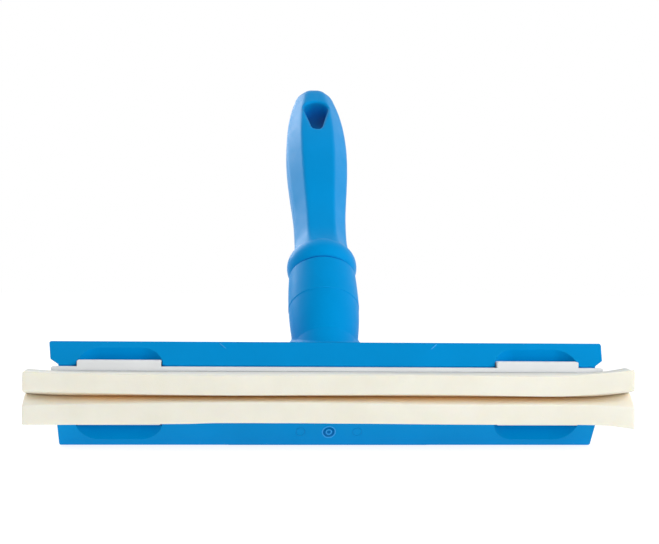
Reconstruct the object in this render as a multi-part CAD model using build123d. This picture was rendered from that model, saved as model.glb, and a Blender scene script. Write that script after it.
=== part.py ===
from build123d import *
from math import cos, radians, sin, sqrt, tan
import os

# Hand squeegee with a push-out blade cassette and a screw-in grip, in millimetres.
# X runs along the blades, -Y points at the blade tips and +Z is up.
# The origin is the middle of the bar's flat underside, where the squeegee lies on a table.

# Foam blades
BLADE_WIDTH = 250.0
BLADE_TIP = 8.0
TIP_GAP = 3.2
ROOT_GAP = 0.2
BLADE_REACH = 15.6
BLADE_SEAT = 22.0
TONGUE_INSET = 21.0
FOAM_FIT = 0.05

# Blade cassette
LIP_THICKNESS = 2.4
LIP_INSET = 2.4
CASSETTE_END = 5.0
CASSETTE_WALL = 1.7
CASSETTE_BACK = 3.5
TAB_WIDTH = 34.6
UPPER_TAB_RISE = 2.6
LOWER_TAB_RISE = 1.1
TAB_DEPTH = 2.0
TAB_INSET = 30.2
TAB_ROUNDING = 0.6

# Clearances between the cassette and the head
SLIDE_CLEARANCE = 0.2
POCKET_END_CLEARANCE = 0.5
TAB_CLEARANCE = 0.8

# Head bar
HEAD_INSET = 7.2
HEAD_HEIGHT = 43.8
MOUTH_OFFSET = 0.55
STRIP_DRAFT = 12.5
STRIP_OVERHANG = 5.2
STRIP_CHAMFER = 2.1
FOOT_FLARE = 0.6
BEVEL_RUN = 11.0
BAR_DEPTH = 26.0
TOP_FALL = 6.0
RIM_LAND = 0.7
RIDGE_RADIUS = 1.2
BACK_TOP_RADIUS = 14.0
BACK_BOTTOM_RADIUS = 9.0
END_CORNER_RADIUS = 0.8

# Thumb scoops behind the cassette tabs
SCOOP_DEPTH = 8.0
SCOOP_FLAT = 17.5
SCOOP_ARC_RADIUS = 9.4
SCOOP_FLOOR = 1.8

# Fan that carries the socket
FAN_WIDTH = 94.0
FAN_BACK_RADIUS = 17.0
FAN_BACK_MARGIN = 5.0
FAN_FALL = 3.5
FAN_START = 0.8
FAN_TOP_RADIUS = 1.5
FAN_FOOT_RADIUS = 4.0

# Handle axis and threaded socket
HANDLE_TILT = 48.0
SOCKET_SETBACK = 3.2
SOCKET_REACH = 36.8
SOCKET_MOUTH_RADIUS = 15.2
SOCKET_BULGE_RADIUS = 15.9
SOCKET_BAND = 19.5
SOCKET_STEP = 0.2
SOCKET_ROOT_RADIUS = 13.9
SOCKET_TAPER = 41.0
SOCKET_OVERLAP = 4.3
SOCKET_CHAMFER = 0.9
SOCKET_ROOT_FILLET = 2.0
BORE_RADIUS = 11.0
BORE_DEPTH = 36.0

# Grip
SPIGOT_CLEARANCE = 0.08
SPIGOT_LENGTH = 33.0
SPIGOT_CHAMFER = 1.5
COLLAR_GAP = 0.2
COLLAR_FOOT_RADIUS = 14.4
COLLAR_RADIUS = 16.0
COLLAR_CROWN = 5.6
COLLAR_TOP = 12.4
COLLAR_TOP_RADIUS = 13.0
GRIP_LENGTH = 124.2
HOLE_WIDTH = 12.2
HOLE_SETBACK = 15.0
HOLE_LENGTH = 22.4
HOLE_BOTTOM_RADIUS = 2.9
HOLE_CHAMFER = 0.8

# Grip section: shares of its width and depth
FACET_SHARE = 0.52
BACK_SHARE = 0.48
SHOULDER_SHARE = 0.14
HIP_SHARE = 0.20
FACET_ROUNDING = 0.07
BODY_ROUNDING = 0.16

# The same shares for a section that is nearly round
ROUND_SIDE_SHARE = 0.414
ROUND_HEIGHT_SHARE = 0.207
ROUND_ROUNDING = 0.36

# Grip sections near the collar: distance beyond the collar's top, width across X, depth, roundness
LOWER_STATIONS = (
    (-8.0, 27.0, 28.4, 0.7),
    (-3.4, 26.8, 29.0, 0.5),
    (0.8, 25.4, 26.4, 0.25),
    (6.0, 24.2, 24.0, 0.0),
    (13.0, 24.0, 23.2, 0.0),
    (23.0, 24.5, 23.2, 0.0),
    (37.0, 26.6, 24.6, 0.0),
)

# Grip sections near the end: distance short of the end, width across X, depth, roundness
UPPER_STATIONS = (
    (45.0, 29.6, 26.4, 0.0),
    (28.0, 27.8, 24.0, 0.0),
    (16.0, 24.2, 20.6, 0.3),
    (8.0, 20.4, 17.4, 0.7),
    (3.0, 16.4, 14.0, 1.0),
    (0.8, 11.0, 9.6, 1.0),
    (0.0, 5.6, 5.0, 1.0),
)

# Places that follow from the sizes above
HEAD_WIDTH = BLADE_WIDTH - 2 * HEAD_INSET
BODY_WIDTH = HEAD_WIDTH - 2 * STRIP_OVERHANG
LIP_WIDTH = HEAD_WIDTH - 2 * LIP_INSET
TONGUE_WIDTH = BLADE_WIDTH - 2 * TONGUE_INSET
CASSETTE_WIDTH = TONGUE_WIDTH + 2 * CASSETTE_END
TAB_SPACING = HEAD_WIDTH - 2 * TAB_INSET
MID_Z = HEAD_HEIGHT / 2 + MOUTH_OFFSET
RIDGE_Y = -BAR_DEPTH / 2
BACK_Y = BAR_DEPTH / 2
RIM_Y = RIDGE_Y - BEVEL_RUN
LIP_Y = RIM_Y - LIP_THICKNESS
STACK_HALF = TIP_GAP / 2 + BLADE_TIP
CASSETTE_HALF = STACK_HALF + CASSETTE_WALL
MOUTH_HALF = CASSETTE_HALF + SLIDE_CLEARANCE
RIM_HALF = MOUTH_HALF + RIM_LAND
CASSETTE_DEPTH = BLADE_SEAT + CASSETTE_BACK - LIP_THICKNESS
POCKET_DEPTH = CASSETTE_DEPTH + POCKET_END_CLEARANCE
POCKET_WIDTH = CASSETTE_WIDTH + 2 * SLIDE_CLEARANCE
SCOOP_FLOOR_HALF = MOUTH_HALF + SCOOP_FLOOR
SPIGOT_RADIUS = BORE_RADIUS - SPIGOT_CLEARANCE
AXIS_EXIT = (HEAD_HEIGHT - MID_Z) / sin(radians(HANDLE_TILT))
EXIT_Y = RIDGE_Y + SOCKET_SETBACK + SOCKET_ROOT_RADIUS / sin(radians(HANDLE_TILT))
AXIS_FOOT_Y = EXIT_Y - AXIS_EXIT * cos(radians(HANDLE_TILT))
FAN_BACK_Y = EXIT_Y + SOCKET_ROOT_RADIUS / sin(radians(HANDLE_TILT)) + FAN_BACK_MARGIN
SOCKET_MOUTH = AXIS_EXIT + SOCKET_REACH
SOCKET_ROOT = SOCKET_MOUTH - SOCKET_TAPER
SOCKET_FOOT = AXIS_EXIT - SOCKET_ROOT_RADIUS / tan(radians(HANDLE_TILT)) - SOCKET_OVERLAP
FAN_TOP = Plane(
    origin=(0, RIDGE_Y + FAN_START, HEAD_HEIGHT - FAN_START * tan(radians(TOP_FALL))),
    z_dir=(0, sin(radians(FAN_FALL)), cos(radians(FAN_FALL))),
)
HANDLE_PLANE = Plane(
    origin=(0, AXIS_FOOT_Y, MID_Z),
    x_dir=(1, 0, 0),
    z_dir=(0, cos(radians(HANDLE_TILT)), sin(radians(HANDLE_TILT))),
)
SOCKET_PLANE = HANDLE_PLANE.offset(SOCKET_MOUTH)
HOLE_TOP = GRIP_LENGTH - HOLE_SETBACK
HOLE_BOTTOM = HOLE_TOP - HOLE_LENGTH


def tab_places():
    """The four tab places as (x of the middle, side of the blade plane, rise above the mouth)."""
    rises = ((1, UPPER_TAB_RISE), (-1, LOWER_TAB_RISE))
    return [(x * TAB_SPACING / 2, side, rise) for x in (-1, 1) for side, rise in rises]


def end_outline():
    """Outline of the bar seen from the blades: an upper strip that overhangs a narrower body."""
    rim_top = MID_Z + RIM_HALF
    strip_foot = rim_top + STRIP_CHAMFER
    strip_half = HEAD_WIDTH / 2 - (HEAD_HEIGHT - strip_foot) * tan(radians(STRIP_DRAFT))
    right = [
        (BODY_WIDTH / 2 + FOOT_FLARE, 0),
        (BODY_WIDTH / 2, rim_top),
        (strip_half, strip_foot),
        (HEAD_WIDTH / 2, HEAD_HEIGHT),
    ]
    left = [(-x, z) for x, z in reversed(right)]
    outline = make_face(Polyline(*right, *left, close=True))
    return fillet(outline.vertices(), END_CORNER_RADIUS)


def bar():
    """Bevelled bar: one profile along the blades, cut to its end outline."""
    top_back = HEAD_HEIGHT - BAR_DEPTH * tan(radians(TOP_FALL))
    corners = [
        (RIM_Y, MID_Z - RIM_HALF),
        (RIDGE_Y, 0),
        (BACK_Y, 0),
        (BACK_Y, top_back),
        (RIDGE_Y, HEAD_HEIGHT),
        (RIM_Y, MID_Z + RIM_HALF),
    ]
    profile = make_face(Polyline(*corners, close=True))
    radii = {1: RIDGE_RADIUS, 2: BACK_BOTTOM_RADIUS, 3: BACK_TOP_RADIUS, 4: RIDGE_RADIUS}
    for index, radius in radii.items():
        place = Vector(*corners[index])
        profile = fillet(profile.vertices().sort_by_distance(place)[0], radius)
    body = extrude(Plane.YZ * profile, HEAD_WIDTH / 2, both=True)
    return body & extrude(Plane.XZ * end_outline(), BAR_DEPTH, both=True)


def fan():
    """Raised fan behind the ridge: flares from round the socket out to its full width."""
    front = Line((-FAN_WIDTH / 2, RIDGE_Y), (FAN_WIDTH / 2, RIDGE_Y))
    back = Pos(0, FAN_BACK_Y - FAN_BACK_RADIUS) * Circle(FAN_BACK_RADIUS)
    block = extrude(make_hull([front, *back.edges()]), HEAD_HEIGHT)
    block = split(block, bisect_by=FAN_TOP, keep=Keep.BOTTOM)
    foot = block.faces().sort_by(Axis.Z)[0].edges().filter_by(Axis.X, reverse=True)
    block = fillet(foot, FAN_FOOT_RADIUS)
    crown = block.faces().sort_by(Axis.Z)[-1].edges().filter_by(Axis.X, reverse=True)
    return fillet(crown, FAN_TOP_RADIUS)


def socket():
    """Round socket that swells below a plain band and tapers into the fan."""
    band = SOCKET_MOUTH - SOCKET_BAND
    band_foot = band - SOCKET_STEP
    below = SOCKET_BULGE_RADIUS - SOCKET_STEP
    edge = SOCKET_MOUTH - SOCKET_CHAMFER
    face = SOCKET_MOUTH_RADIUS - SOCKET_CHAMFER
    outline = [
        Line((0, SOCKET_FOOT), (SOCKET_ROOT_RADIUS, SOCKET_FOOT)),
        Line((SOCKET_ROOT_RADIUS, SOCKET_FOOT), (SOCKET_ROOT_RADIUS, SOCKET_ROOT)),
        TangentArc((below, band_foot), (SOCKET_ROOT_RADIUS, SOCKET_ROOT), tangent=(0, -1)),
        Line((below, band_foot), (SOCKET_BULGE_RADIUS, band)),
        TangentArc((SOCKET_BULGE_RADIUS, band), (SOCKET_MOUTH_RADIUS, edge), tangent=(0, 1)),
        Line((SOCKET_MOUTH_RADIUS, edge), (face, SOCKET_MOUTH)),
        Line((face, SOCKET_MOUTH), (0, SOCKET_MOUTH)),
        Line((0, SOCKET_MOUTH), (0, SOCKET_FOOT)),
    ]
    return HANDLE_PLANE.location * revolve(Plane.XZ * make_face(outline), Axis.Z)


def scoop(x, side):
    """Thumb recess cut into a bevel: flat at the back, with arcs that run out to the tab's width."""
    back = RIM_Y + SCOOP_DEPTH
    half = (TAB_WIDTH + TAB_CLEARANCE) / 2
    run = half - SCOOP_FLAT / 2
    drop = SCOOP_ARC_RADIUS - sqrt(SCOOP_ARC_RADIUS ** 2 - run ** 2)
    flat_left = (x - SCOOP_FLAT / 2, back)
    flat_right = (x + SCOOP_FLAT / 2, back)
    end_left = (x - half, back - drop)
    end_right = (x + half, back - drop)
    front_left = (x - half, RIM_Y)
    front_right = (x + half, RIM_Y)
    outline = [
        Line(front_left, front_right),
        Line(front_right, end_right),
        TangentArc(flat_right, end_right, tangent=(1, 0)),
        Line(flat_right, flat_left),
        TangentArc(flat_left, end_left, tangent=(-1, 0)),
        Line(end_left, front_left),
    ]
    floor = Plane(origin=(0, 0, MID_Z + side * SCOOP_FLOOR_HALF))
    return extrude(floor * make_face(outline), side * HEAD_HEIGHT)


def notch(x, side):
    """Gap in the rim where a cassette tab stands, open to the scoop above it."""
    depth = TAB_DEPTH + TAB_CLEARANCE
    centre = (x, RIM_Y + depth / 2, MID_Z + side * MOUTH_HALF)
    return Pos(*centre) * Box(TAB_WIDTH + TAB_CLEARANCE, depth, 2 * SCOOP_FLOOR)


def head():
    """Moulded head: bar, fan and socket with the cassette pocket, scoops and bore cut out."""
    body = bar() + fan() + socket()
    root = body.faces().filter_by(FAN_TOP).sort_by(SortBy.AREA)[-1].inner_wires()[0].edges()
    body = fillet(root, SOCKET_ROOT_FILLET)
    pocket = Pos(0, RIM_Y + POCKET_DEPTH / 2, MID_Z) * Box(POCKET_WIDTH, POCKET_DEPTH, 2 * MOUTH_HALF)
    bore = SOCKET_PLANE.location * Pos(0, 0, -BORE_DEPTH / 2) * Cylinder(BORE_RADIUS, BORE_DEPTH)
    body = body - pocket - bore
    for x, side, _ in tab_places():
        body = body - scoop(x, side) - notch(x, side)
    return body


def cassette():
    """Channel for the pair of blades, with a lip across the mouth and a push tab at each scoop."""
    lip = Box(LIP_WIDTH, LIP_THICKNESS, 2 * MOUTH_HALF)
    lip = fillet(lip.edges().filter_by(Axis.Y), TAB_ROUNDING)
    body = Pos(0, LIP_Y + LIP_THICKNESS / 2, MID_Z) * lip
    core_y = RIM_Y + CASSETTE_DEPTH / 2
    body = body + Pos(0, core_y, MID_Z) * Box(CASSETTE_WIDTH, CASSETTE_DEPTH, 2 * CASSETTE_HALF)
    tab_depth = LIP_THICKNESS + TAB_DEPTH
    for x, side, rise in tab_places():
        tab = Box(TAB_WIDTH, tab_depth, 2 * rise)
        tab = fillet(tab.edges().filter_by(Axis.Y), TAB_ROUNDING)
        body = body + Pos(x, LIP_Y + tab_depth / 2, MID_Z + side * MOUTH_HALF) * tab
    slot = Box(TONGUE_WIDTH + 2 * FOAM_FIT, BLADE_SEAT, 2 * (STACK_HALF + FOAM_FIT))
    return body - Pos(0, LIP_Y + BLADE_SEAT / 2, MID_Z) * slot


def blade(side):
    """Foam blade: a full-width lip that thins towards its tip, on a tongue held in the cassette."""
    tip_y = LIP_Y - BLADE_REACH
    back_y = LIP_Y + BLADE_SEAT - FOAM_FIT
    root = MID_Z + side * ROOT_GAP / 2
    outer = MID_Z + side * STACK_HALF
    tip = MID_Z + side * TIP_GAP / 2
    free = make_face(Polyline((LIP_Y, root), (tip_y, tip), (tip_y, outer), (LIP_Y, outer), close=True))
    tongue = make_face(Polyline((LIP_Y, root), (LIP_Y, outer), (back_y, outer), (back_y, root), close=True))
    lip = extrude(Plane.YZ * free, BLADE_WIDTH / 2, both=True)
    return lip + extrude(Plane.YZ * tongue, TONGUE_WIDTH / 2, both=True)


def blend(plain, full, share):
    """Value that lies a share of the way from one value to another."""
    return plain + (full - plain) * share


def grip_section(width, depth, roundness):
    """Rounded eight-sided section with its flat front facet towards -Y."""
    facet = blend(FACET_SHARE, ROUND_SIDE_SHARE, roundness) * width / 2
    back = blend(BACK_SHARE, ROUND_SIDE_SHARE, roundness) * width / 2
    shoulder = -blend(SHOULDER_SHARE, ROUND_HEIGHT_SHARE, roundness) * depth
    hip = blend(HIP_SHARE, ROUND_HEIGHT_SHARE, roundness) * depth
    corners = [
        (-facet, -depth / 2),
        (facet, -depth / 2),
        (width / 2, shoulder),
        (width / 2, hip),
        (back, depth / 2),
        (-back, depth / 2),
        (-width / 2, hip),
        (-width / 2, shoulder),
    ]
    section = make_face(Polyline(*corners, close=True))
    by_depth = section.vertices().sort_by(Axis.Y)
    section = fillet(by_depth[:2], blend(FACET_ROUNDING, ROUND_ROUNDING, roundness) * depth)
    by_depth = section.vertices().sort_by(Axis.Y)
    return fillet(by_depth[4:], blend(BODY_ROUNDING, ROUND_ROUNDING, roundness) * depth)


def grip_sections():
    """All sections of the grip, from inside the collar to the end."""
    lower = [(COLLAR_TOP + place, *shape) for place, *shape in LOWER_STATIONS]
    upper = [(GRIP_LENGTH - place, *shape) for place, *shape in UPPER_STATIONS]
    return [Plane.XY.offset(place) * grip_section(*shape) for place, *shape in lower + upper]


def hanging_hole():
    """Cutter for the hanging hole: a rounded triangle with its wide side towards the end."""
    wide = Pos(0, HOLE_TOP - HOLE_WIDTH / 2) * Circle(HOLE_WIDTH / 2)
    narrow = Pos(0, HOLE_BOTTOM + HOLE_BOTTOM_RADIUS) * Rot(Z=180) * Circle(HOLE_BOTTOM_RADIUS)
    outline = make_hull([*wide.edges(), *narrow.edges()])
    return extrude(Plane.XZ * outline, COLLAR_RADIUS, both=True)


def handle():
    """Screw-in grip: spigot, rounded collar and a faceted grip with a hanging hole."""
    outline = [
        Line((0, COLLAR_GAP), (COLLAR_FOOT_RADIUS, COLLAR_GAP)),
        TangentArc((COLLAR_RADIUS, COLLAR_CROWN), (COLLAR_FOOT_RADIUS, COLLAR_GAP), tangent=(0, -1)),
        TangentArc((COLLAR_RADIUS, COLLAR_CROWN), (COLLAR_TOP_RADIUS, COLLAR_TOP), tangent=(0, 1)),
        Line((COLLAR_TOP_RADIUS, COLLAR_TOP), (0, COLLAR_TOP)),
        Line((0, COLLAR_TOP), (0, COLLAR_GAP)),
    ]
    collar = revolve(Plane.XZ * make_face(outline), Axis.Z)
    body = loft(grip_sections()) + collar
    hole = hanging_hole()
    drilled = body - hole
    rims = new_edges(body, hole, combined=drilled).filter_by(Axis.Y, reverse=True)
    rooted = SPIGOT_LENGTH + COLLAR_TOP
    spigot = Pos(0, 0, COLLAR_TOP - rooted / 2) * Cylinder(SPIGOT_RADIUS, rooted)
    spigot = chamfer(spigot.edges().sort_by(Axis.Z)[0], SPIGOT_CHAMFER)
    return SOCKET_PLANE.location * (chamfer(rims, HOLE_CHAMFER) + spigot)


os.makedirs("parts", exist_ok=True)
export_step(head(), "parts/head.step")
export_step(cassette(), "parts/cassette.step")
export_step(blade(1), "parts/blade_upper.step")
export_step(blade(-1), "parts/blade_lower.step")
export_step(handle(), "parts/handle.step")
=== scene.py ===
from math import cos, radians, sin, tau

import bmesh
import bpy
from mathutils import Matrix, Vector, noise
from mathutils.bvhtree import BVHTree


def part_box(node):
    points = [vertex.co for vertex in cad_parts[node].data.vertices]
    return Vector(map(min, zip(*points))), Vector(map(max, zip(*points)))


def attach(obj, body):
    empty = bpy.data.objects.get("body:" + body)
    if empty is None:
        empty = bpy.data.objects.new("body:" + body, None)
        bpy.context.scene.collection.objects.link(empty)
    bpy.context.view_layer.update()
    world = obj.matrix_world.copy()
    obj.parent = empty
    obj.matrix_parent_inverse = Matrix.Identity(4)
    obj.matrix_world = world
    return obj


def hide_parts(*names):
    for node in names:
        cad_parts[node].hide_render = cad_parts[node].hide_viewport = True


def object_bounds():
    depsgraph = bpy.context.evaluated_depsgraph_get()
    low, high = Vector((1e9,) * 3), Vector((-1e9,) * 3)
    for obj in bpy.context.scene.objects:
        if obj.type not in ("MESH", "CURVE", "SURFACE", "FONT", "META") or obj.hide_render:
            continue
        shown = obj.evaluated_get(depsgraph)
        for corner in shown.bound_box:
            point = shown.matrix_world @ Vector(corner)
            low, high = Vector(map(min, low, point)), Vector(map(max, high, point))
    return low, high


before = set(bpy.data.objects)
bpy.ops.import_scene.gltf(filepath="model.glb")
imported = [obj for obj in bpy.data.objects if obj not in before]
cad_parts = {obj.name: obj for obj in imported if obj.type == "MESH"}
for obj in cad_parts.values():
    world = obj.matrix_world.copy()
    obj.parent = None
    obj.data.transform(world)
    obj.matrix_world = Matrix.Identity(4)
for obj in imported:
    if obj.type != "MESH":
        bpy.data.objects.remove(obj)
CAD_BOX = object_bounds()

MM = 0.001

# Photograph: its frame, and the camera that took it
PHOTO_WIDTH = 659
SENSOR_WIDTH = 36.0
FOCAL_PIXELS = 1476.0
CAMERA_DISTANCE = 600 * MM
CAMERA_SIDE = -1.8 * MM
CAMERA_HEIGHT = 73.75 * MM
CAMERA_YAW = radians(3.9)
CAMERA_DIP = radians(0.03)
CAMERA_ROLL = radians(0.48)
CLIP_NEAR = 0.01
CLIP_FAR = 50

# Places taken from the frame
BLADE_TIP_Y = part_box("blade_upper")[0].y
BLADE_BACK_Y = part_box("blade_upper")[1].y
LIP_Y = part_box("cassette")[0].y
MID_Z = (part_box("blade_upper")[0].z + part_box("blade_lower")[1].z) / 2
GRIP_TOP_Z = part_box("handle")[1].z

# Foam blades: their size, their mesh, and the sag and flare of the tips and the free ends
BLADE_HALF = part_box("blade_upper")[1].x
TONGUE_HALF = 104 * MM
STACK_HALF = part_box("blade_upper")[1].z - MID_Z
ROOT_HALF_GAP = 0.02 * MM
TIP_HALF_GAP = 1.6 * MM
FOAM_STEP = 2 * MM
FOAM_ROWS = 12
TONGUE_ROWS = 4
COLUMN_SLACK = 0.1 * MM
FOAM_EDGE = 0.55 * MM
FOAM_EDGE_STEPS = 3
FOAM_EDGE_ANGLE = radians(50)
FOAM_RIPPLE = 0.05 * MM
RIPPLE_PITCH = 18 * MM
BEND_POWER = 1.5
ROOT_LAND = 6.5 * MM
LEFT_END_RISE = 1.0 * MM
RIGHT_END_RISE = 2.3 * MM

# How far the foam's tip edges stand from straight, in mm, at places along X in mm
UPPER_OUTER = (
    (-125, 0.7), (-105, 0.2), (-47, -0.6), (0, -0.3),
    (47, -0.1), (93, -0.3), (113, 1.2), (125, 2.4),
)
UPPER_INNER = (
    (-125, 0.8), (-105, 0.4), (-47, -0.6), (0, -0.3),
    (47, -0.1), (93, -0.7), (113, 0.6), (125, 1.8),
)
LOWER_INNER = (
    (-125, -1.6), (-105, -1.2), (-47, -0.3), (0, -0.4),
    (47, -1.0), (93, -0.9), (113, -1.3), (125, -2.3),
)
LOWER_OUTER = (
    (-125, -1.6), (-105, -1.5), (-60, -1.1), (-47, -0.7), (0, -0.8),
    (47, -1.2), (93, -1.3), (113, -1.6), (125, -3.2),
)

# Painted shade on the foam: warm tan shade on the inner faces, which fades towards the tip and the ends,
# and grey shade beside the lip
GAP_SHADE_FADE_START = 90 * MM
GAP_SHADE_AT_ENDS = 0.15
GAP_SHADE_POWER = 1.1
LIP_SHADE = 0.6
LIP_POWER = 1.5

# Round mould marks on the lower bevel: the gate's two rings and disc, and an ejector ring on each side
MARK_HEIGHT = 6.35 * MM
MARK_STRETCH = 1.4
MARK_STEPS = 48
MARK_SIDES = 8
GATE_RADII = (2.7 * MM, 1.1 * MM)
GATE_WIRE = 0.28 * MM
GATE_PIP = 0.45 * MM
PIP_STEPS = 3
GATE_DISC_RISE = 0.04 * MM
GATE_DISC_DEPTH = 0.5 * MM
EJECTOR_PLACE = 12 * MM
EJECTOR_RADIUS = 1.9 * MM
EJECTOR_WIRE = 0.12 * MM

# Fine raised lines where the fan's flanks run out on the upper bevel: places along X and up, and thickness
RUN_OUT_TOP = (46.5 * MM, 43.3 * MM)
RUN_OUT_FOOT = (43.5 * MM, 41.0 * MM)
RUN_OUT_WIRE = 0.3 * MM

# Colours, linear
BLUE = (0.0, 0.272, 0.65)
BLUE_WORN = (0.02, 0.30, 0.68)
# Painted shade for recesses and where pieces meet, on the blue head and its marks
BLUE_PAINTED_SHADE = (0.0, 0.008, 0.13)
# Painted shade in the hanging hole and the grip's recesses: a deeper blue, then a dark blue lower down
HOLE_PAINTED_SHADE = (0.0, 0.11, 0.7)
HOLE_PAINTED_DARK_SHADE = (0.0, 0.06, 0.25)
# Painted highlight: a lighter blue for the gate rings and the run-out lines, standing in for the light they
# catch
BLUE_PAINTED_HIGHLIGHT = (0.05, 0.40, 0.86)
# Painted shade: a darker blue that makes the gate disc read as sunk
BLUE_DISC_PAINTED_SHADE = (0.0, 0.16, 0.46)
WHITE = (0.82, 0.835, 0.85)
WHITE_WORN = (0.86, 0.865, 0.87)
# Painted shade for the white cassette's recesses and where it meets other pieces
WHITE_PAINTED_SHADE = (0.40, 0.43, 0.48)
CREAM = (0.795, 0.78, 0.69)
CREAM_DEEP = (0.735, 0.715, 0.615)
# Painted warm shade for the narrow gap between the foam blades
GAP_PAINTED_SHADE = (1.0, 0.63, 0.23)
# Painted shade on the foam's top beside the cassette's lip
LIP_PAINTED_SHADE_GREY = (0.5, 0.52, 0.52)

# The part of a noise's range that most of its values lie in
NOISE_SPAN = (0.3, 0.7)

# Plastic: scales in cells per metre, how dark its mottling is, and strength and depth of its bumps
FLOW_SCALE = 38
FLOW_DARKER = 0.93
GLOSS_SCALE = 160
SWELL_SCALE = 55
SWELL_BUMP = (0.25, 0.12 * MM)
GRAIN_SCALE = 2600
GRAIN_BUMP = (0.12, 0.05 * MM)

# Plastic: least and most roughness
SATIN = (0.36, 0.48)
WHITE_SATIN = (0.38, 0.5)
POLISHED = (0.2, 0.3)
DULL = (0.4, 0.5)

# Plastic: level and tint of the reflection with the tint of the sheen, and what all plastics share
HEAD_REFLECTION = (0.05, (0.02, 0.45, 1.0), (0.1, 0.6, 1.0))
GRIP_REFLECTION = (0.1, (0.02, 0.45, 1.0), (1.0, 1.0, 1.0))
WHITE_REFLECTION = (0.4, (1.0, 1.0, 1.0), (1.0, 1.0, 1.0))
PLASTIC_IOR = 1.49
PLASTIC_SHEEN = 0.14
PLASTIC_SHEEN_ROUGHNESS = 0.25

# Moulded edges: their radius, the cosine of the turn at which wear starts and is full, and the most wear
EDGE_SOFTNESS = 0.45 * MM
GRIP_SOFTNESS = 1.8 * MM
EDGE_TURN = (0.995, 0.90)
EDGE_WEAR = 0.35
EDGE_SAMPLES = 6

# Shade in recesses: how far it looks, the openness at which it starts and is full, and the most shade
OPENNESS_SAMPLES = 8
CAVITY_REACH = 16 * MM
CAVITY = (0.55, 0.2)
CAVITY_MOST = 0.95

# Shade where pieces meet: the same, and the heights between which it comes in, clear of the floor
CONTACT_REACH = 2.5 * MM
CONTACT = (0.7, 0.3)
CONTACT_MOST = 0.9
CONTACT_HEIGHTS = (6 * MM, 11 * MM)

# Hanging hole, painted shade: openness for its deeper blue and for its dark, the slant of the dark, and
# the heights along that slant at which the dark starts and is full
HOLE_CAVITY = (0.5, 0.25)
HOLE_INSIDE = (0.7, 0.42)
HOLE_SLANT = (-0.6, 0.0, 1.0)
HOLE_HEIGHTS = (GRIP_TOP_Z - 11 * MM, GRIP_TOP_Z - 19 * MM)

# Foam: scales in cells per metre, spans and shares of the deeper cream, and strength and depth of its bumps
CELL_SCALE = 2100.0
CELL_BUMP = (0.25, 0.12 * MM)
BLOTCH_SCALE = 60
BLOTCH_SPAN = (0.35, 0.7)
BLOTCH_SHARE = 0.6
BLOTCH_BUMP = (0.2, 0.2 * MM)
SPECKLE_SCALE = 900
PORE_SPAN = (0.60, 0.75)
PORE_SHARE = 0.25

# Foam: its surface, and the light that spreads inside it
FOAM_ROUGHNESS = (0.82, 0.95)
FOAM_IOR = 1.4
FOAM_REFLECTION = 0.2
FOAM_SHEEN = 0.15
FOAM_SHEEN_ROUGHNESS = 0.6
SPREAD_SHARE = 0.4
SPREAD_COLOURS = (1.0, 0.75, 0.45)
SPREAD_DEPTH = 2.5 * MM

# Lamps: place and size in metres, and power in watts
LAMPS = {
    "front_softbox": ((0.25, -1.9, 0.4), 1.0, 6.2),
    "key_softbox": ((0.65, -0.45, 0.5), 0.5, 4.0),
    "left_softbox": ((-1.0, -0.1, 0.45), 0.7, 0.6),
    "right_softbox": ((1.0, -0.3, 0.35), 0.7, 0.4),
    "back_left_softbox": ((-0.75, 1.05, 0.75), 0.8, 12.0),
    "back_right_softbox": ((0.9, 0.9, 0.7), 0.8, 0.5),
}

# Surroundings: their level for light that bounces, and as the camera sees them
WORLD_BOUNCE = 0.48
WORLD_SHOWN = 1.0

# Floor: size in metres, drop below the object, and the paper's tone
FLOOR_SIZE = 8.0
FLOOR_DROP = 0.3 * MM
PAPER_SCALE = 3
PAPER_TONE = (0.24, 0.26)

# Floor: glow near and far from the object, those distances in metres, and glow and grey for bounces
FLOOR_GLOW = (0.85, 0.89)
GLOW_SPREAD = (0.2, 0.8)
FLOOR_BOUNCE = 0.68
FLOOR_ALBEDO = 0.4


def add_node(tree, kind, **settings):
    """A new shader node with its properties set."""
    made = tree.nodes.new(kind)
    for key, value in settings.items():
        setattr(made, key, value)
    return made


def set_inputs(made, **values):
    """Sets a node's sockets by name, with underscores for spaces."""
    for key, value in values.items():
        made.inputs[key.replace("_", " ")].default_value = value


def noise_node(tree, place, scale, detail, roughness=0.5):
    """Noise over the object, with its scale in cells per metre."""
    made = add_node(tree, "ShaderNodeTexNoise")
    set_inputs(made, Scale=scale, Detail=detail, Roughness=roughness)
    tree.links.new(place, made.inputs["Vector"])
    return made.outputs["Fac"]


def remap(tree, value, low, high, to_low, to_high):
    """Maps a value from one range to another, clamped."""
    made = add_node(tree, "ShaderNodeMapRange")
    for index, number in enumerate((low, high, to_low, to_high), start=1):
        made.inputs[index].default_value = number
    tree.links.new(value, made.inputs[0])
    return made.outputs[0]


def combine(tree, operation, first, second):
    """One number from two."""
    made = add_node(tree, "ShaderNodeMath", operation=operation)
    tree.links.new(first, made.inputs[0])
    tree.links.new(second, made.inputs[1])
    return made.outputs[0]


def mix_colours(tree, factor, first, second):
    """Colour between two, each a colour or a socket."""
    made = add_node(tree, "ShaderNodeMix", data_type="RGBA")
    tree.links.new(factor, made.inputs["Factor"])
    for name, colour in (("A", first), ("B", second)):
        socket = [s for s in made.inputs if s.name == name and s.type == "RGBA"][0]
        if isinstance(colour, tuple):
            socket.default_value = (*colour, 1)
        else:
            tree.links.new(colour, socket)
    return [s for s in made.outputs if s.type == "RGBA"][0]


def add_shaders(tree, first, second):
    """The light of two shaders together."""
    made = add_node(tree, "ShaderNodeAddShader")
    tree.links.new(first.outputs[0], made.inputs[0])
    tree.links.new(second.outputs[0], made.inputs[1])
    return made.outputs[0]


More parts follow.
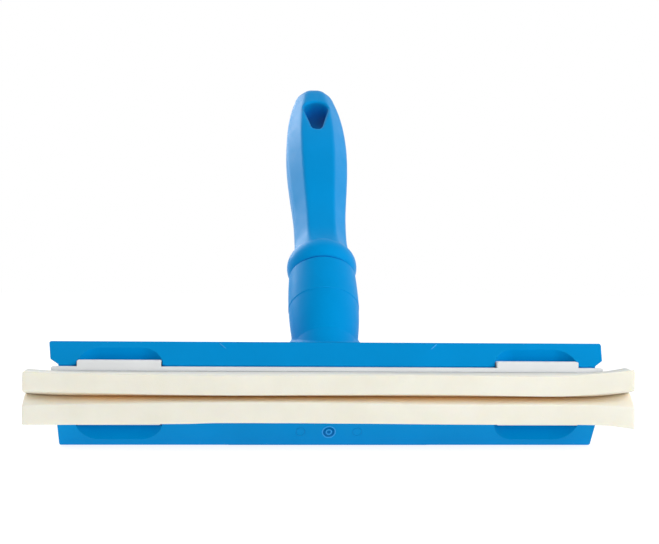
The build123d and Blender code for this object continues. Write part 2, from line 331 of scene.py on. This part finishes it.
def bump(tree, height, strength, distance, normal=None):
    """Bump from a height socket, over an earlier normal if there is one."""
    made = add_node(tree, "ShaderNodeBump")
    set_inputs(made, Strength=strength, Distance=distance)
    tree.links.new(height, made.inputs["Height"])
    if normal is not None:
        tree.links.new(normal, made.inputs["Normal"])
    return made.outputs["Normal"]


def new_material(name):
    """An empty node material: its tree, its shader and object coordinates."""
    made = bpy.data.materials.new(name)
    made.use_nodes = True
    tree = made.node_tree
    shader = tree.nodes["Principled BSDF"]
    place = add_node(tree, "ShaderNodeTexCoord").outputs["Object"]
    return made, tree, shader, place


def openness(tree, reach, local):
    """How open a place is, from 0 in a closed recess to 1 on an open face, by the piece alone or by all."""
    made = add_node(tree, "ShaderNodeAmbientOcclusion", samples=OPENNESS_SAMPLES, only_local=local)
    set_inputs(made, Distance=reach)
    return made.outputs["AO"]


def recess_shade(tree, place, depths):
    """Share of the painted shade colour: in a piece's own recesses, and where it meets another above the
    floor.
    """
    cavity = remap(tree, openness(tree, CAVITY_REACH, True), *depths, 0.0, CAVITY_MOST)
    contact = remap(tree, openness(tree, CONTACT_REACH, False), *CONTACT, 0.0, CONTACT_MOST)
    height = add_node(tree, "ShaderNodeSeparateXYZ")
    tree.links.new(place, height.inputs[0])
    raised = remap(tree, height.outputs["Z"], *CONTACT_HEIGHTS, 0.0, 1.0)
    return combine(tree, "MAXIMUM", cavity, combine(tree, "MULTIPLY", contact, raised))


def moulded_plastic(name, colours, roughness, reflection, softness=EDGE_SOFTNESS, depths=CAVITY):
    """Satin moulded polypropylene: faint flow mottling, fine grain, worn edges, and painted shade in
    recesses and where pieces meet.
    """
    colour, worn, painted_shade = colours
    made, tree, shader, place = new_material(name)
    soft = add_node(tree, "ShaderNodeBevel", samples=EDGE_SAMPLES)
    set_inputs(soft, Radius=softness)
    flat = add_node(tree, "ShaderNodeNewGeometry").outputs["Normal"]
    facing = add_node(tree, "ShaderNodeVectorMath", operation="DOT_PRODUCT")
    tree.links.new(soft.outputs["Normal"], facing.inputs[0])
    tree.links.new(flat, facing.inputs[1])
    edge = remap(tree, facing.outputs["Value"], *EDGE_TURN, 0.0, EDGE_WEAR)
    flow = noise_node(tree, place, FLOW_SCALE, detail=4)
    darker = tuple(FLOW_DARKER * part for part in colour)
    skin = mix_colours(tree, remap(tree, flow, *NOISE_SPAN, 0.0, 1.0), darker, colour)
    skin = mix_colours(tree, edge, skin, worn)
    # Painted shade: darker in recesses and where pieces meet
    skin = mix_colours(tree, recess_shade(tree, place, depths), skin, painted_shade)
    tree.links.new(skin, shader.inputs["Base Color"])
    gloss = noise_node(tree, place, GLOSS_SCALE, detail=5, roughness=0.6)
    tree.links.new(remap(tree, gloss, *NOISE_SPAN, *roughness), shader.inputs["Roughness"])
    swell = noise_node(tree, place, SWELL_SCALE, detail=1)
    grain = noise_node(tree, place, GRAIN_SCALE, detail=2)
    normal = bump(tree, swell, *SWELL_BUMP, soft.outputs["Normal"])
    normal = bump(tree, grain, *GRAIN_BUMP, normal)
    tree.links.new(normal, shader.inputs["Normal"])
    level, tint, sheen_tint = reflection
    set_inputs(shader, IOR=PLASTIC_IOR, Specular_IOR_Level=level, Specular_Tint=(*tint, 1))
    set_inputs(shader, Sheen_Weight=PLASTIC_SHEEN, Sheen_Roughness=PLASTIC_SHEEN_ROUGHNESS)
    set_inputs(shader, Sheen_Tint=(*sheen_tint, 1))
    return made


def paint_hole_shade(material):
    """Paints shade into the hanging hole: darker towards its lower end, and towards its right side."""
    tree = material.node_tree
    colour = tree.nodes["Principled BSDF"].inputs["Base Color"]
    place = add_node(tree, "ShaderNodeTexCoord").outputs["Object"]
    level = add_node(tree, "ShaderNodeVectorMath", operation="DOT_PRODUCT")
    tree.links.new(place, level.inputs[0])
    level.inputs[1].default_value = HOLE_SLANT
    inside = remap(tree, openness(tree, CAVITY_REACH, True), *HOLE_INSIDE, 0.0, 1.0)
    lower = remap(tree, level.outputs["Value"], *HOLE_HEIGHTS, 0.0, 1.0)
    share = combine(tree, "MULTIPLY", inside, lower)
    # Painted shade: the hole's wall turns to the dark blue lower down and to the right
    tree.links.new(mix_colours(tree, share, colour.links[0].from_socket, HOLE_PAINTED_DARK_SHADE), colour)


def cellular_foam(name):
    """Cream cellular rubber: tiny cells, a powdery surface, painted warm shade on the inner faces and
    painted grey shade beside the lip.
    """
    made, tree, shader, place = new_material(name)
    cells = add_node(tree, "ShaderNodeTexVoronoi", feature="F1")
    set_inputs(cells, Scale=CELL_SCALE, Randomness=1.0)
    tree.links.new(place, cells.inputs["Vector"])
    blotch = noise_node(tree, place, BLOTCH_SCALE, detail=4)
    speckle = noise_node(tree, place, SPECKLE_SCALE, detail=3)
    skin = mix_colours(tree, remap(tree, blotch, *BLOTCH_SPAN, 0.0, BLOTCH_SHARE), CREAM, CREAM_DEEP)
    skin = mix_colours(tree, remap(tree, speckle, *PORE_SPAN, 0.0, PORE_SHARE), skin, CREAM_DEEP)
    # Painted shade carried by the mesh: warm tan in the gap between the blades, grey beside the lip
    for layer, colour in (("gap_painted_shade", GAP_PAINTED_SHADE), ("lip_shade", LIP_PAINTED_SHADE_GREY)):
        share = add_node(tree, "ShaderNodeAttribute", attribute_name=layer)
        skin = mix_colours(tree, share.outputs["Fac"], skin, colour)
    tree.links.new(skin, shader.inputs["Base Color"])
    tree.links.new(remap(tree, speckle, *NOISE_SPAN, *FOAM_ROUGHNESS), shader.inputs["Roughness"])
    normal = bump(tree, cells.outputs["Distance"], *CELL_BUMP)
    normal = bump(tree, blotch, *BLOTCH_BUMP, normal)
    tree.links.new(normal, shader.inputs["Normal"])
    set_inputs(shader, IOR=FOAM_IOR, Specular_IOR_Level=FOAM_REFLECTION)
    set_inputs(shader, Sheen_Weight=FOAM_SHEEN, Sheen_Roughness=FOAM_SHEEN_ROUGHNESS)
    set_inputs(shader, Subsurface_Weight=SPREAD_SHARE, Subsurface_Radius=SPREAD_COLOURS)
    set_inputs(shader, Subsurface_Scale=SPREAD_DEPTH)
    return made


def smooth_at(points, x):
    """Value at x on a smooth line through a few (x, value) points."""
    last = len(points) - 1
    index = max(i for i in range(last) if points[i][0] <= x or i == 0)
    (x0, a), (x1, b) = points[index], points[index + 1]
    before, after = points[max(index - 1, 0)], points[min(index + 2, last)]
    span = x1 - x0
    slope_a = (b - before[1]) / (x1 - before[0]) * span
    slope_b = (after[1] - a) / (after[0] - x0) * span
    t = min(max((x - x0) / span, 0.0), 1.0)
    value = (2 * t ** 3 - 3 * t ** 2 + 1) * a + (t ** 3 - 2 * t ** 2 + t) * slope_a
    return value + (3 * t ** 2 - 2 * t ** 3) * b + (t ** 3 - t ** 2) * slope_b


def finished_mesh(name, shape):
    """A mesh from a finished shape, with its faces turned outwards."""
    bmesh.ops.recalc_face_normals(shape, faces=shape.faces)
    mesh = bpy.data.meshes.new(name)
    shape.to_mesh(mesh)
    shape.free()
    return mesh


def new_piece(name, mesh, material, body):
    """Links a finished mesh as a piece that rides on a body."""
    piece = bpy.data.objects.new(name, mesh)
    bpy.context.scene.collection.objects.link(piece)
    piece.data.materials.append(material)
    piece.data.shade_smooth()
    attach(piece, body)
    return piece


def even_steps(low, high, count):
    """Evenly spaced values from low to high, both included."""
    return [low + (high - low) * i / count for i in range(count + 1)]


def foam_columns():
    """Places along X of the foam's mesh lines, with one on each side of the tongue."""
    outside = round((BLADE_HALF - TONGUE_HALF) / FOAM_STEP)
    inside = round(2 * TONGUE_HALF / FOAM_STEP)
    left = even_steps(-BLADE_HALF, -TONGUE_HALF, outside)
    middle = even_steps(-TONGUE_HALF, TONGUE_HALF, inside)
    right = even_steps(TONGUE_HALF, BLADE_HALF, outside)
    return left[:-1] + middle + right[1:]


def foam_reach(y):
    """How far out a place is on a blade: 0 where the inner faces touch, and 1 at the tip."""
    land = LIP_Y - ROOT_LAND
    return min(max((land - y) / (land - BLADE_TIP_Y), 0.0), 1.0)


def foam_point(x, y, side, outer, lifts):
    """A point of the foam's outer or inner face, with the sag and flare of its tip and free ends."""
    reach = foam_reach(y)
    half = STACK_HALF if outer else ROOT_HALF_GAP + (TIP_HALF_GAP - ROOT_HALF_GAP) * reach
    lift = smooth_at(lifts[0] if outer else lifts[1], x / MM) * MM * reach ** BEND_POWER
    free = max(abs(x) - TONGUE_HALF, 0.0) / (BLADE_HALF - TONGUE_HALF)
    rise = (LEFT_END_RISE if x < 0 else RIGHT_END_RISE) * free ** 2 * (1 - reach)
    ripple = FOAM_RIPPLE * reach * noise.noise(Vector((x, y, side * STACK_HALF)) / RIPPLE_PITCH)
    return Vector((x, y, MID_Z + side * half + lift + rise + ripple))


def gap_shade_share(x, y):
    """How much painted warm shade an inner face gets: most at the root, and less towards the tip and the
    free ends.
    """
    along = min(max((abs(x) - GAP_SHADE_FADE_START) / (BLADE_HALF - GAP_SHADE_FADE_START), 0.0), 1.0)
    return (1 - foam_reach(y)) ** GAP_SHADE_POWER * (1 + (GAP_SHADE_AT_ENDS - 1) * along)


def foam_shape(side, lifts):
    """Shape of one foam blade: a strip that thins to its tip, on the tongue that the cassette holds."""
    xs = foam_columns()
    ys = even_steps(BLADE_TIP_Y, LIP_Y, FOAM_ROWS) + even_steps(LIP_Y, BLADE_BACK_Y, TONGUE_ROWS)[1:]
    shape = bmesh.new()
    depth = shape.verts.layers.float.new("gap_painted_shade")
    shade = shape.verts.layers.float.new("lip_shade")
    corners = {}
    for i, x in enumerate(xs):
        for j, y in enumerate(ys):
            if y > LIP_Y and abs(x) > TONGUE_HALF + COLUMN_SLACK:
                continue
            for outer in (True, False):
                vert = shape.verts.new(foam_point(x, y, side, outer, lifts))
                # Painted warm shade on the inner faces
                vert[depth] = 0.0 if outer else gap_shade_share(x, y)
                # Painted grey shade on the outer faces beside the lip
                vert[shade] = LIP_SHADE * (1 - foam_reach(y)) ** LIP_POWER if outer else 0.0
                corners[i, j, outer] = vert
    # An edge that only one cell has lies on the outline, and gets a wall between the two faces
    walls = {}
    for i in range(len(xs) - 1):
        for j in range(len(ys) - 1):
            ring = [(i, j), (i + 1, j), (i + 1, j + 1), (i, j + 1)]
            if any((*key, True) not in corners for key in ring):
                continue
            shape.faces.new([corners[(*key, True)] for key in ring])
            shape.faces.new([corners[(*key, False)] for key in reversed(ring)])
            for first, second in zip(ring, ring[1:] + ring[:1]):
                edge = frozenset((first, second))
                walls[edge] = None if edge in walls else (first, second)
    for first, second in filter(None, walls.values()):
        shape.faces.new([corners[(*first, True)], corners[(*first, False)],
                         corners[(*second, False)], corners[(*second, True)]])
    return shape


def foam_blade(name, node, side, lifts, material):
    """One foam blade with soft edges, in place of its plain solid."""
    mesh = finished_mesh(name, foam_shape(side, lifts))
    piece = new_piece(name, mesh, material, "cassette")
    rounding = piece.modifiers.new("soft_edges", "BEVEL")
    rounding.width = FOAM_EDGE
    rounding.segments = FOAM_EDGE_STEPS
    rounding.limit_method = "ANGLE"
    rounding.angle_limit = FOAM_EDGE_ANGLE
    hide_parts(node)


def ring_of_wire(shape, centre, across, facing, radius, wire):
    """Adds a round wire ring that lies on a surface, sunk to its middle."""
    up = facing.cross(across) * MARK_STRETCH
    loops = []
    for i in range(MARK_STEPS):
        turn = tau * i / MARK_STEPS
        out = cos(turn) * across + sin(turn) * up
        loop = []
        for j in range(MARK_SIDES):
            roll = tau * j / MARK_SIDES
            place = out * (radius + wire * cos(roll)) + facing * wire * sin(roll)
            loop.append(shape.verts.new(centre + place))
        loops.append(loop)
    for here, ahead in zip(loops, loops[1:] + loops[:1]):
        for j in range(MARK_SIDES):
            k = (j + 1) % MARK_SIDES
            shape.faces.new([here[j], ahead[j], ahead[k], here[k]])


def bevel_place(x, height):
    """Point of the head's front at a place along X and a height, and the way it faces."""
    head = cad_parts["head"].data
    tree = BVHTree.FromPolygons([v.co for v in head.vertices], [f.vertices for f in head.polygons])
    centre, facing, _, _ = tree.ray_cast(Vector((x, BLADE_TIP_Y, height)), Vector((0, 1, 0)))
    return centre, facing


def mould_mark(name, shape, material):
    """Makes a mark on the head from its finished shape."""
    new_piece(name, finished_mesh(name, shape), material, "head")


def ring_mark(name, x, radii, wire, material):
    """Raised round rings on the head's lower bevel."""
    centre, facing = bevel_place(x, MARK_HEIGHT)
    shape = bmesh.new()
    for radius in radii:
        ring_of_wire(shape, centre, Vector((1, 0, 0)), facing, radius, wire)
    mould_mark(name, shape, material)


def disc_mark(name, x, radius, pip, material):
    """Low disc on the head's lower bevel, with a pip in its middle."""
    centre, facing = bevel_place(x, MARK_HEIGHT)
    turn = facing.to_track_quat("Z", "Y").to_matrix().to_4x4()
    middle = Matrix.Translation(centre + facing * (GATE_DISC_RISE - GATE_DISC_DEPTH / 2)) @ turn
    middle = middle @ Matrix.Scale(MARK_STRETCH, 4, (0, 1, 0))
    shape = bmesh.new()
    bmesh.ops.create_cone(shape, cap_ends=True, segments=MARK_STEPS, radius1=radius, radius2=radius,
                          depth=GATE_DISC_DEPTH, matrix=middle)
    bmesh.ops.create_icosphere(shape, subdivisions=PIP_STEPS, radius=pip, matrix=Matrix.Translation(centre))
    mould_mark(name, shape, material)


def run_out_mark(name, side, material):
    """Fine raised line on the head's upper bevel, thin at both ends."""
    top, _ = bevel_place(side * RUN_OUT_TOP[0], RUN_OUT_TOP[1])
    foot, _ = bevel_place(side * RUN_OUT_FOOT[0], RUN_OUT_FOOT[1])
    turn = (top - foot).to_track_quat("Z", "Y").to_matrix().to_4x4()
    length = Matrix.Scale((top - foot).length / 2 / RUN_OUT_WIRE, 4, (0, 0, 1))
    shape = bmesh.new()
    bmesh.ops.create_uvsphere(shape, u_segments=MARK_SIDES, v_segments=MARK_STEPS // 2, radius=RUN_OUT_WIRE,
                              matrix=Matrix.Translation((top + foot) / 2) @ turn @ length)
    mould_mark(name, shape, material)


def area_lamp(name, place, aim, size, power):
    """A soft square lamp that points at a place."""
    lamp = bpy.data.lights.new(name, "AREA")
    lamp.shape = "SQUARE"
    lamp.size = size
    lamp.energy = power
    holder = bpy.data.objects.new(name, lamp)
    holder.location = place
    holder.rotation_euler = (Vector(aim) - Vector(place)).to_track_quat("-Z", "Y").to_euler()
    bpy.context.scene.collection.objects.link(holder)


def camera_like(tree):
    """1 for rays from the camera, a mirror or glass, and 0 for light that bounces."""
    path = add_node(tree, "ShaderNodeLightPath")
    total = path.outputs["Is Camera Ray"]
    for name in ("Is Glossy Ray", "Is Transmission Ray"):
        total = combine(tree, "MAXIMUM", total, path.outputs[name])
    return total


def studio_world():
    """White surroundings: shown to the camera as white, with a lower level of light for bounces."""
    world = bpy.data.worlds.new("studio")
    world.use_nodes = True
    tree = world.node_tree
    back = tree.nodes["Background"]
    set_inputs(back, Color=(1, 1, 1, 1))
    level = remap(tree, camera_like(tree), 0.0, 1.0, WORLD_BOUNCE, WORLD_SHOWN)
    tree.links.new(level, back.inputs["Strength"])
    bpy.context.scene.world = world


def floor_paper():
    """Pale paper: white to the camera apart from the shadow, with its own level of light for bounces."""
    made, tree, shader, place = new_material("floor_paper")
    shown = add_node(tree, "ShaderNodeBsdfDiffuse")
    tone = noise_node(tree, place, PAPER_SCALE, detail=2)
    tree.links.new(remap(tree, tone, *NOISE_SPAN, *PAPER_TONE), shown.inputs["Color"])
    away = add_node(tree, "ShaderNodeVectorMath", operation="LENGTH")
    tree.links.new(place, away.inputs[0])
    glow = add_node(tree, "ShaderNodeEmission")
    tree.links.new(remap(tree, away.outputs["Value"], *GLOW_SPREAD, *FLOOR_GLOW), glow.inputs["Strength"])
    bounce = add_node(tree, "ShaderNodeBsdfDiffuse")
    set_inputs(bounce, Color=(FLOOR_ALBEDO, FLOOR_ALBEDO, FLOOR_ALBEDO, 1))
    lift = add_node(tree, "ShaderNodeEmission")
    set_inputs(lift, Strength=FLOOR_BOUNCE)
    choose = add_node(tree, "ShaderNodeMixShader")
    tree.links.new(camera_like(tree), choose.inputs["Fac"])
    tree.links.new(add_shaders(tree, bounce, lift), choose.inputs[1])
    tree.links.new(add_shaders(tree, shown, glow), choose.inputs[2])
    tree.nodes.remove(shader)
    tree.links.new(choose.outputs[0], tree.nodes["Material Output"].inputs["Surface"])
    return made


def studio_floor():
    """Pale floor under the object, which keeps a faint contact shadow."""
    half = FLOOR_SIZE / 2
    corners = [(-half, -half, 0), (half, -half, 0), (half, half, 0), (-half, half, 0)]
    mesh = bpy.data.meshes.new("floor")
    mesh.from_pydata(corners, [], [(0, 1, 2, 3)])
    mesh.materials.append(floor_paper())
    floor = bpy.data.objects.new("floor", mesh)
    floor.location.z = CAD_BOX[0].z - FLOOR_DROP
    bpy.context.scene.collection.objects.link(floor)


def photo_camera():
    """Camera at the photograph's place, angle and field of view."""
    level = cos(CAMERA_DIP)
    ahead = Vector((sin(CAMERA_YAW) * level, cos(CAMERA_YAW) * level, -sin(CAMERA_DIP)))
    aim = Vector((CAMERA_SIDE, BLADE_TIP_Y, CAMERA_HEIGHT))
    data = bpy.data.cameras.new("photo_camera")
    data.sensor_fit = "HORIZONTAL"
    data.sensor_width = SENSOR_WIDTH
    data.lens = SENSOR_WIDTH * FOCAL_PIXELS / PHOTO_WIDTH
    data.clip_start = CLIP_NEAR
    data.clip_end = CLIP_FAR
    camera = bpy.data.objects.new("photo_camera", data)
    place = Matrix.Translation(aim - ahead * CAMERA_DISTANCE)
    turn = ahead.to_track_quat("-Z", "Y").to_matrix().to_4x4()
    camera.matrix_world = place @ turn @ Matrix.Rotation(CAMERA_ROLL, 4, "Z")
    bpy.context.scene.collection.objects.link(camera)
    bpy.context.scene.camera = camera


# Materials
blue = moulded_plastic("blue_polypropylene", (BLUE, BLUE_WORN, BLUE_PAINTED_SHADE), SATIN, HEAD_REFLECTION)
# The grip's recesses take the hole's painted shade, and the hole gets more painted shade lower down
grip = moulded_plastic("blue_grip", (BLUE, BLUE_WORN, HOLE_PAINTED_SHADE), SATIN, GRIP_REFLECTION,
                       GRIP_SOFTNESS, HOLE_CAVITY)
paint_hole_shade(grip)
# Glossy blue for raised marks, whose lighter colour is a painted highlight
glossy_highlit = moulded_plastic("blue_glossy_ring_painted_highlight", (BLUE_PAINTED_HIGHLIGHT, BLUE_WORN, BLUE_PAINTED_SHADE), POLISHED,
                           HEAD_REFLECTION)
# Dull blue for the gate disc, darker as painted shade
shaded_disc = moulded_plastic("blue_gate_disc", (BLUE_DISC_PAINTED_SHADE, BLUE_WORN, BLUE_PAINTED_SHADE), DULL, HEAD_REFLECTION)
white = moulded_plastic("white_polypropylene", (WHITE, WHITE_WORN, WHITE_PAINTED_SHADE), WHITE_SATIN,
                        WHITE_REFLECTION)
foam = cellular_foam("cream_foam")

# Solids from the frame
for node, material in (("head", blue), ("handle", grip), ("cassette", white)):
    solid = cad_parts[node]
    solid.data.materials.clear()
    solid.data.materials.append(material)

# Pieces of the scene
foam_blade("foam_blade_upper", "blade_upper", 1, (UPPER_OUTER, UPPER_INNER), foam)
foam_blade("foam_blade_lower", "blade_lower", -1, (LOWER_OUTER, LOWER_INNER), foam)
ring_mark("gate_rings", 0, GATE_RADII, GATE_WIRE, glossy_highlit)
disc_mark("gate_disc", 0, GATE_RADII[0], GATE_PIP, shaded_disc)
for side, name in ((-1, "ejector_mark_left"), (1, "ejector_mark_right")):
    ring_mark(name, side * EJECTOR_PLACE, (EJECTOR_RADIUS,), EJECTOR_WIRE, blue)
for side, name in ((-1, "run_out_left"), (1, "run_out_right")):
    run_out_mark(name, side, glossy_highlit)

# Studio
centre = (CAD_BOX[0] + CAD_BOX[1]) / 2
for name, (place, size, power) in LAMPS.items():
    area_lamp(name, place, centre, size, power)
studio_world()
studio_floor()
photo_camera()
bpy.context.scene.view_settings.view_transform = "Standard"
